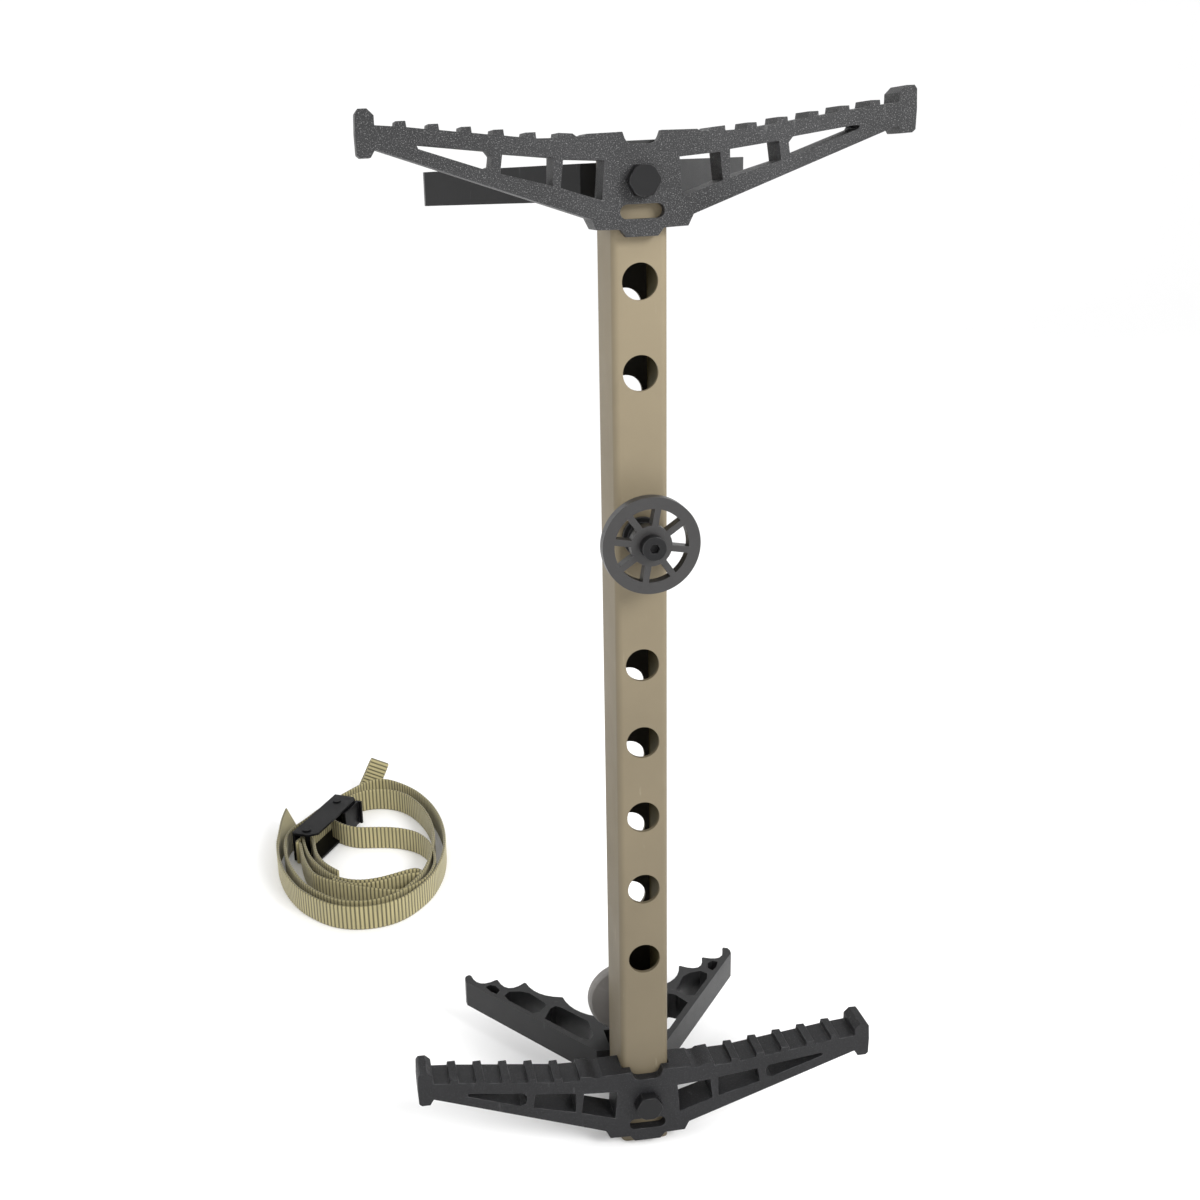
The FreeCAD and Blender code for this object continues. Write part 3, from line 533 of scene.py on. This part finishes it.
TAIL_RUN = ((-192, 288), (-194.5, 275), (-196.5, 262), (-198.5, 249), (-200.5, 237))
TAIL_LEANS = (24, 24, 20, 12, 5)
TAIL_WIDTHS = (0.06, 0.55)
FAR_RUN = ((-80, 226), (-83.5, 262), (-96, 294), (-114, 307), (-134, 307))
THROUGH_RUN = ((38, 6.4), (26, 6.4), (8, 6.4), (-10, 6.4), (-26, 6.4), (-38, 6.4))
INNER_RUN = (
    (-118, 137), (-104, 143), (-92.5, 153), (-85.5, 169), (-83, 188), (-85.5, 207), (-92, 222), (-102, 231),
    (-114, 236.5), (-127, 239), (-139, 241),
)
HELD_RUN = ((0, -19), (3, -9), (7, -2))
coil_points = on_floor(TAIL_RUN)
coil_points += turn_of_coil(180, 480, 0)
coil_points += turn_of_coil(500, 700, 4.5 * MM, drift=TURN_GAP)
coil_points += on_floor(FAR_RUN) + beside_buckle(THROUGH_RUN)
coil_points += turn_of_coil(900, 960, 1.95 * TURN_GAP, drift=0.4 * TURN_GAP)
coil_points += on_floor(INNER_RUN) + beside_buckle(HELD_RUN)
long_route = route("long_strap_route", coil_points, leans=TAIL_LEANS, widths=TAIL_WIDTHS)
long_line = line_of(long_route)
long_strap = webbing_piece("long_strap", long_route, web_tree, web_sizes)
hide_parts("strap_coil", "strap_tail")

ANCHOR_RUN = ((-24, 1), (-28, 5), (-32, 2))
SHORT_RUN = (
    (-180.5, 219), (-177.5, 203), (-172, 189), (-164, 174), (-154, 163), (-141, 157.5), (-127, 158.5),
    (-113, 163.5), (-103, 167.5), (-97.5, 167), (-95.5, 163.5),
)
short_route = route("short_strap_route", beside_buckle(ANCHOR_RUN) + on_floor(SHORT_RUN))
short_line = line_of(short_route)
short_strap = webbing_piece("short_strap", short_route, web_tree, web_sizes)

# The short strap is doubled at both ends: sewn back round the anchor pin, and folded under.
ANCHOR_SIDE_RUN = ((-26, 3.4), (-24, -1))
SEWN_RUN = ((-173.4, 222), (-172.5, 208), (-169, 195.5), (-163.5, 184.5), (-156.5, 175.5))
FOLDED_RUN = (
    (-95.5, 163.5), (-96.5, 160.5), (-101, 160.5), (-107, 161), (-117, 157.8), (-128, 154), (-141, 152.8),
    (-153, 157.5), (-161, 165.5),
)
sewn_route = route("sewn_ply_route", beside_buckle(ANCHOR_SIDE_RUN) + on_floor(SEWN_RUN))
sewn_ply = webbing_piece("sewn_ply", sewn_route, web_tree, web_sizes)
folded_route = route("folded_end_route", on_floor(FOLDED_RUN))
folded_end = webbing_piece("folded_end", folded_route, web_tree, web_sizes)

# The keeper loop leans over the coil's far side. Its run gives the rise up the lean and the set back.
LOOP_WIDTH = 16 * MM
LOOP_LEAN = math.radians(26)
LOOP_SHIFT = -13 * MM
LOOP_RUN = (
    (5, -2), (11, -2), (18, -2.2), (25, -2), (30, -1), (32.6, 1), (30, 3), (24, 3.4), (13, 3), (5, 3),
)
LOOP_WIDTHS = (1.1, 1.25, 1.25, 1.05, 0.8, 0.5, 0.8, 1.0, 1.1, 1.0)
loop_low, loop_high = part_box("strap_loop")
loop_foot = Vector(((loop_low[0] + loop_high[0]) / 2 + LOOP_SHIFT, (loop_low[1] + loop_high[1]) / 2, 0))


def up_loop(rise, back):
    """A point of the keeper loop, given in millimetres up its lean and back from its middle."""
    return loop_foot + Vector((rise * math.sin(LOOP_LEAN), back, rise * math.cos(LOOP_LEAN))) * MM


loop_sizes = {**web_sizes, "Width": LOOP_WIDTH}
loop_tree = webbing_tree("webbing_bent_over", loop_sizes, "MINIMUM_TWIST")
loop_route = route("keeper_loop_route", [up_loop(*point) for point in LOOP_RUN], widths=LOOP_WIDTHS)
keeper_loop = webbing_piece("keeper_loop", loop_route, loop_tree, loop_sizes)
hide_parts("strap_loop")

# ---------------------------------------------------------------------------------------------
# Buckle. A black steel cam buckle: a folded frame with two cheeks, a cam lever on a headed pin,
# and a second headed pin that holds the short strap. It travels with the long strap.

buckle_black = coated_metal("gloss_black_steel", (0.003, 0.003, 0.0035), (0.05, 0.05, 0.05), grain=0.7 * MM,
                            depth=0.02 * MM, rough=0.36, wear=0.3, shine=0.1)
for name, node, body in (
    ("folded_buckle_frame", "buckle_frame", "strap"),
    ("cam_pin", "buckle_pin", "strap"),
    ("anchor_pin", "buckle_rivet", "strap"),
    ("cam_lever", "buckle_lever", "lever"),
):
    part = eased(name, node, 0.3 * MM)
    part.data.materials.append(buckle_black)
    finished(part, body, "buckle_steel", node)

# ---------------------------------------------------------------------------------------------
# Studio. A pale floor that runs up into a wall, a soft light from the right and a weaker fill.


def sweep_floor():
    """A wide floor curving up into a back wall."""
    profile = [(-6.0, 0.0), (3.0, 0.0)]
    for k in range(1, 11):
        angle = math.radians(9 * k)
        profile.append((3.0 + 2.0 * math.sin(angle), 2.0 - 2.0 * math.cos(angle)))
    profile.append((5.0, 9.0))
    mesh = bpy.data.meshes.new("studio_floor")
    verts = [(x, y, z) for y, z in profile for x in (-9.0, 9.0)]
    faces = [(2 * k, 2 * k + 1, 2 * k + 3, 2 * k + 2) for k in range(len(profile) - 1)]
    mesh.from_pydata(verts, [], faces)
    mesh.polygons.foreach_set("use_smooth", [True] * len(faces))
    floor = bpy.data.objects.new("studio_floor", mesh)
    bpy.context.scene.collection.objects.link(floor)
    material, tree, surface = shader("pale_floor")
    surface.inputs["Base Color"].default_value = (0.96, 0.96, 0.96, 1)
    surface.inputs["Roughness"].default_value = 0.9
    mesh.materials.append(material)
    return floor


def soft_light(name, place, aim, size, watts):
    """A round soft box at a place, turned to face its aim."""
    data = bpy.data.lights.new(name, "AREA")
    data.energy = watts
    data.shape = "DISK"
    data.size = size
    lamp = bpy.data.objects.new(name, data)
    lamp.location = place
    lamp.rotation_euler = (Vector(aim) - Vector(place)).to_track_quat("-Z", "Y").to_euler()
    bpy.context.scene.collection.objects.link(lamp)


sweep_floor()
soft_light("key_light", (1.1, -1.5, 1.3), (0, -0.1, 0.35), 0.9, 38)
soft_light("fill_light", (-1.4, -1.3, 1.0), (0, -0.1, 0.3), 1.2, 8)
world = bpy.data.worlds.new("studio_world")
world.use_nodes = True
world.node_tree.nodes["Background"].inputs["Color"].default_value = (1, 1, 1, 1)
world.node_tree.nodes["Background"].inputs["Strength"].default_value = 1.0
bpy.context.scene.world = world
bpy.context.scene.view_settings.view_transform = "Standard"

camera_data = bpy.data.cameras.new("camera")
camera_data.lens = 39.83
camera_data.shift_x = 0.1176
camera_data.shift_y = -0.011
camera = bpy.data.objects.new("camera", camera_data)
camera.location = (-0.1475, -0.7072, 0.5016)
camera.rotation_euler = Euler((math.radians(72.93), math.radians(2.67), math.radians(-6.7)), "XYZ")
bpy.context.scene.collection.objects.link(camera)
bpy.context.scene.camera = camera
